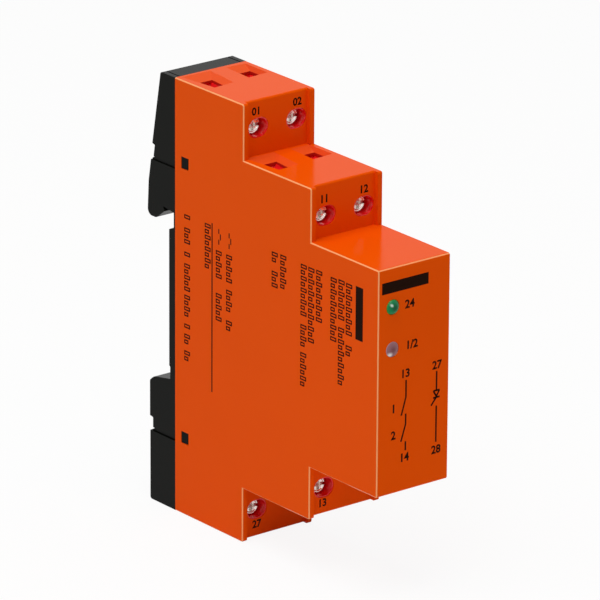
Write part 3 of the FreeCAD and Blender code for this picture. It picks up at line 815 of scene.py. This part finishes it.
@dataclass
class SidePrint(InkLayer):
    """Rows of small open fields on the left side, read downwards, with one fine rule, in mm."""

    rule_from: Spot = (-13.81, 18.4)     # y and z of the rule's upper end
    rule_to: float = -16.5
    rule_width: float = 0.33
    bar_from: Spot = (-59.3, 18.1)       # y and z of the plain bar's upper end
    bar_to: float = 7.4
    bar_width: float = 2.2
    mark_rows: Spot = (-15.93, -19.2)    # y of the rows that start with a contact mark
    mark_width: float = 0.3
    stroke: float = 0.27
    pitch: float = 1.19          # from one field to the next
    length: float = 0.86         # of a field along its row
    tall: float = 1.85           # field sizes across the row, one after the other
    low: float = 1.3
    rows: Dict[float, Tuple[Spot, ...]] = field(default_factory=lambda: {
        -5.87: ((17.9, 16.4), (15.2, 11.1), (10.2, 9.2), (7.8, 2.3), (1.3, -3.6), (-4.7, -5.6), (-6.8, -9.1),
                (-10.3, -13.0)),
        -12.42: ((17.9, 8.9),),
        -15.93: ((13.3, 6.8), (4.5, -1.6)),
        -19.2: ((13.3, 7.4), (6.1, 1.0), (-0.2, -2.7)),
        -33.45: ((17.9, 15.3), (14.0, 10.2)),
        -36.1: ((18.0, 10.5),),
        -42.4: ((17.9, 6.9), (5.7, 1.2), (0.0, -6.8)),
        -44.72: ((17.9, 2.7),),
        -47.12: ((18.0, 7.4),),
        -51.52: ((17.8, 4.8),),
        -53.9: ((18.0, 9.6), (8.4, -3.3)),
        -56.2: ((17.9, 6.8), (5.4, 3.4)),
    })

    def bar(self, y: float, high: float, low: float, x: float, width: float) -> bpy.types.Object:
        """Prints one upright bar on the side face."""
        return block((x - self.film, y - width / 2, low), (x + self.sink, y + width / 2, high))

    def open_field(self, x: float, y: float, high: float, across: float, along: float,
                   stroke: float) -> bpy.types.Object:
        """Prints one open field whose far side from the front is at y."""
        low, near = high - along, y - across
        sides = [self.bar(y - across / 2, high, high - stroke, x, across),
                 self.bar(y - across / 2, low + stroke, low, x, across),
                 self.bar(y - stroke / 2, high, low, x, stroke),
                 self.bar(near + stroke / 2, high, low, x, stroke)]
        return join(sides, "ink_field")

    def row(self, x: float, y: float, high: float, low: float) -> None:
        """Prints a row of tall and low fields between two heights, with one foot line."""
        foot = y + self.tall / 2
        count = max(1, round((high - low) / self.pitch))
        for start, across in ((0, self.tall), (1, self.low)):
            repeats = (count + 1 - start) // 2
            if repeats:
                item = self.open_field(x, foot, high - start * self.pitch, across, self.length, self.stroke)
                apply_modifier(item, "ARRAY", count=repeats, use_relative_offset=False,
                               use_constant_offset=True,
                               constant_offset_displace=(0, 0, -2 * self.pitch * MM))
                self.strokes.append(item)

    def build(self, material: bpy.types.Material) -> None:
        """Prints the rows, the rule, the two contact marks and the plain bar at the front end."""
        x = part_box("front_cover")[0][0] / MM
        for y, spans in self.rows.items():
            for high, low in spans:
                self.row(x, y, high, low)
        self.strokes.append(self.bar(*self.rule_from, self.rule_to, x, self.rule_width))
        for y in self.mark_rows:
            for shift, high, low in ((0, 17.8, 16.8), (0, 15.6, 14.6), (-0.5, 16.8, 15.6)):
                self.strokes.append(self.bar(y + shift, high, low, x, self.mark_width))
        self.strokes.append(self.bar(*self.bar_from, self.bar_to, x, self.bar_width))
        self.gather("side_print", material)


@dataclass
class TerminalNumbers(InkLayer):
    """Plain numbers beside the screw openings, in mm."""

    digits: float = 1.65         # height of the numbers
    above: float = 3.45          # from a screw up to its number, on the upper tiers
    below: float = 3.1           # and down to it, on the lower ones
    collar: float = 0.15         # from a carrier's front up to the cover's wall
    labels: Dict[Tier, Tuple[Tuple[str, int, float], ...]] = field(default_factory=lambda: {
        Tier.TOP_REAR: (("01", 1, -0.7), ("02", 2, 0.2)),
        Tier.TOP_FRONT: (("11", 1, -0.4), ("12", 2, 0.1)),
        Tier.BOTTOM_FRONT: (("13", 1, -0.2),),
        Tier.BOTTOM_REAR: (("27", 1, 0.0),),
    })

    def build(self, material: bpy.types.Material) -> None:
        """Numbers the terminals; of the two lower tiers only the left ones."""
        for tier, texts in self.labels.items():
            upper = tier in (Tier.TOP_REAR, Tier.TOP_FRONT)
            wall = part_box(f"terminal_carrier_{tier.value}")[0][1] / MM - self.collar
            for text, column, shift in texts:
                low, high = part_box(f"terminal_screw_{tier.value}_{column}")
                x, z = (low[0] + high[0]) / 2 / MM, (low[2] + high[2]) / 2 / MM
                self.number(text, self.digits, x + shift, wall, z + (self.above if upper else -self.below))
        self.gather("terminal_numbers", material)


# ---- lamps --------------------------------------------------------------------------------
@dataclass
class StatusLamp:
    """Round lamp: domed resin body over a dished reflector, with two bent leads."""

    node: str
    resin: LampResin
    slot: str
    radius: float = 1.5          # mm, as the lengths below
    rings: int = 7               # steps of the dome
    length: float = 5.0          # resin body from its tip
    cup_radius: float = 0.85
    cup_depth: float = 1.1
    lead_half: float = 0.25
    lead_reach: float = 1.27     # of each lead from the lamp's axis

    def dome(self, x: float, z: float, tip: float, back: float, crown: float) -> bpy.types.Object:
        """Builds the resin body with a spherical crown of the given height."""
        body = round_bar(x, z, self.radius, tip + crown, back, 48)
        curve = (self.radius ** 2 + crown ** 2) / (2 * crown)
        spread = math.asin(min(self.radius / curve, 1.0))
        select_faces(body, lambda face: face.normal.y < -0.9)
        before_r, before_y = self.radius, tip + crown
        for ring in range(1, self.rings + 1):
            angle = spread * (1 - ring / (self.rings + 0.4))
            r, y = curve * math.sin(angle), tip + curve * (1 - math.cos(angle))
            bpy.ops.mesh.extrude_region_move(TRANSFORM_OT_translate={"value": (0, (y - before_y) * MM, 0)})
            bpy.ops.transform.resize(value=(r / before_r, 1, r / before_r),
                                     center_override=(x * MM, y * MM, z * MM))
            before_r, before_y = r, y
        leave_edit()
        return body

    def reflector(self, x: float, z: float, front: float) -> bpy.types.Object:
        """Builds the small dished reflector that shows through the resin."""
        cup = round_bar(x, z, self.cup_radius, front, front + self.cup_depth, 32)
        select_faces(cup, lambda face: face.normal.y < -0.9)
        bpy.ops.mesh.inset(thickness=0.12 * MM)
        bpy.ops.mesh.extrude_region_move(TRANSFORM_OT_translate={"value": (0, 0.5 * MM, 0)})
        bpy.ops.transform.resize(value=(0.45, 1, 0.45))
        leave_edit()
        return cup

    def build(self, metal: bpy.types.Material) -> None:
        """Builds the lamp in place of the frame's plain one.

        Args:
            metal: Finish of the reflector and the leads.
        """
        low, high = (Vector(corner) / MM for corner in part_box(self.node))
        tip = low.y
        x, z = low.x + self.radius, (low.z + high.z) / 2
        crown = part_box("front_cover")[0][1] / MM - tip + 0.1
        back = tip + self.length
        body = settle(self.dome(x, z, tip, back, crown), f"{self.node}_resin")
        recalculate(body)
        smooth(body, 40)
        dress(body, self.resin.build(x, z))
        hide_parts(self.node)
        pieces = [self.reflector(x, z, tip + crown + 0.9)]
        half = self.lead_half
        bend = high.y - half
        for side in (-self.lead_reach, self.lead_reach):
            z0, z1 = z + side - half, z + side + half
            pieces.append(block((x - half, back, z0), (x + half, bend + half, z1)))
            pieces.append(block((x + half, bend - half, z0), (high.x, bend + half, z1)))
        inner = join(pieces, f"{self.node}_metal")
        dress(inner, metal)


# ---- latch spring -------------------------------------------------------------------------
@dataclass
class LatchSpring:
    """Compression spring of round wire behind the rail latch, in mm."""

    wire: float = 0.21           # radius of the wire
    mean: float = 1.15           # radius of the coil
    turns: int = 6
    keep: float = 0.656          # share of its length that is left when the latch is drawn
    finish: PlatedSteel = field(default_factory=lambda: PlatedSteel(
        "spring_wire", "#BFC1C3", "#A6A8AA", 0.22))

    def build(self) -> None:
        """Winds the spring between its two seats."""
        low, high = (Vector(corner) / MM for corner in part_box("latch_spring"))
        centre = (low + high) / 2
        length = high.z - low.z - 2 * self.wire
        clear_selection()
        bpy.ops.mesh.primitive_circle_add(vertices=10, radius=self.wire * MM,
                                          location=(self.mean * MM, 0, 0), rotation=(math.pi / 2, 0, 0))
        coil = bpy.context.active_object
        bpy.ops.object.transform_apply(location=True, rotation=True, scale=True)
        apply_modifier(coil, "SCREW", axis="Z", angle=2 * math.pi, screw_offset=length / self.turns * MM,
                       iterations=self.turns, steps=20, render_steps=20, use_merge_vertices=True)
        pick(coil)
        bpy.ops.object.mode_set(mode="EDIT")
        bpy.ops.mesh.select_all(action="DESELECT")
        bpy.ops.mesh.select_mode(type="VERT")
        bpy.ops.mesh.select_non_manifold()
        bpy.ops.mesh.edge_face_add()
        leave_edit()
        recalculate(coil)
        coil.location = Vector((centre.x, centre.y, low.z + self.wire)) * MM
        coil = settle(coil, "latch_spring_coil")
        smooth(coil, 60)
        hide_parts("latch_spring")
        dress(coil, self.finish.build())
        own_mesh(coil)


# ---- studio -------------------------------------------------------------------------------
@dataclass
class Studio:
    """White floor, soft boxes and the lens."""

    azimuth: float = -38.4775    # degrees, as the next two
    elevation: float = 19.7319
    roll: float = 0.3543
    distance: float = 1278.33    # mm, as the next two
    aim: Point = (0.25, -38.0, 0.0)
    slide: Spot = (-4.9546, 7.0979)      # of the lens to its right and up
    lens: float = 398.266        # focal length on a 36 mm sensor
    floor_half: float = 2500.0   # mm, half the floor's side
    floor_depth: float = 20.0
    floor_gap: float = 0.05      # below the object
    ambient_low: float = 0.08    # at the horizon
    ambient_high: float = 0.52   # overhead

    def lights(self) -> None:
        """Adds the soft boxes: a large one overhead to the left, and a weak small one in front."""
        for name, place, size, power in (
                ("soft_box_top", (-0.25, -0.1, 0.95), 0.7, 6.4),
                ("small_box", (-0.75, -0.6, 0.7), 0.12, 0.3)):
            clear_selection()
            bpy.ops.object.light_add(type="AREA", location=place)
            lamp = bpy.context.active_object
            lamp.name = name
            lamp.data.energy = power
            lamp.data.size = size
            aim = Vector((0, -0.03, 0)) - Vector(place)
            lamp.rotation_euler = aim.to_track_quat("-Z", "Y").to_euler()

    def world(self) -> None:
        """Lights the object from all round, and shows white to the lens and to glosses."""
        world = bpy.data.worlds.new("studio_world")
        bpy.context.scene.world = world
        world.use_nodes = True
        tree = world.node_tree
        tree.nodes.clear()
        place = add_node(tree, "TexCoord").outputs["Generated"]
        height = add_node(tree, "SeparateXYZ", None, {"Vector": place}).outputs["Z"]
        level = add_node(tree, "MapRange", None, {
            "Value": height, "From Min": -0.1, "From Max": 0.9,
            "To Min": self.ambient_low, "To Max": self.ambient_high})
        soft = add_node(tree, "Background", None, {
            "Color": (1, 1, 1, 1), "Strength": level.outputs["Result"]})
        white = add_node(tree, "Background", None, {"Color": (1, 1, 1, 1), "Strength": 1.0})
        both = add_node(tree, "MixShader", None, {
            0: seen_directly(tree), 1: soft.outputs[0], 2: white.outputs[0]})
        add_node(tree, "OutputWorld", None, {"Surface": both.outputs[0]})

    def floor(self) -> None:
        """Adds a thick sheet of white paper under the object."""
        half, top = self.floor_half, CAD_BOUNDS[0][2] / MM - self.floor_gap
        sheet = block((-half, -half, top - self.floor_depth), (half, half, top))
        sheet.name = "studio_floor"
        sheet.data.materials.append(StudioPaper().build())

    def camera(self) -> None:
        """Adds the lens at its fitted place and makes it the scene's camera."""
        az, el, roll = (math.radians(v) for v in (self.azimuth, self.elevation, self.roll))
        back = Vector((math.sin(az) * math.cos(el), -math.cos(az) * math.cos(el), math.sin(el)))
        level = Vector((math.cos(az), math.sin(az), 0))
        upright = back.cross(level)
        right = level * math.cos(roll) + upright * math.sin(roll)
        up = upright * math.cos(roll) - level * math.sin(roll)
        place = (Vector(self.aim) + back * self.distance + right * self.slide[0] + up * self.slide[1]) * MM
        clear_selection()
        bpy.ops.object.camera_add(location=place)
        lens = bpy.context.active_object
        lens.name = "lens"
        lens.rotation_euler = Matrix((right, up, back)).transposed().to_euler()
        lens.data.lens = self.lens
        lens.data.sensor_width = 36.0
        lens.data.clip_start = 0.01
        lens.data.clip_end = 50.0
        bpy.context.scene.camera = lens

    def build(self) -> None:
        """Sets up the whole studio."""
        self.lights()
        self.world()
        self.floor()
        self.camera()
        bpy.context.scene.view_settings.view_transform = "Standard"


def main() -> None:
    """Builds every sub-assembly in order."""
    logging.basicConfig(level=logging.INFO, format="%(name)s: %(message)s")
    Studio().build()
    CarriedParts().build()
    ClampScrew().build()
    ink = PadPrint().build()
    FrontPrint().build(ink)
    SidePrint().build(ink)
    TerminalNumbers().build(ink)
    metal = PlatedSteel("tinned_lead_frame", "#D6D2C6", "#C2BEB2", 0.25).build()
    # lamp resins: darker middle tone and lighter tone further out (painted shade), painted bright rim, then
    # place, colour and size of a painted highlight spot
    green = LampResin("epoxy_green", "#00502C", "#00985A", "#4FBE3A", (-0.7, 0.6), "#E6FFF2", 0.42)
    clear = LampResin("epoxy_clear", "#7E4A50", "#A8777F", "#C9A9B6", (-0.7, -1.0), "#FFFFFF", 0.8)
    StatusLamp("status_led_green", green, "lamp_green").build(metal)
    StatusLamp("status_led_clear", clear, "lamp_clear").build(metal)
    LatchSpring().build()


if __name__ == "__main__":
    main()
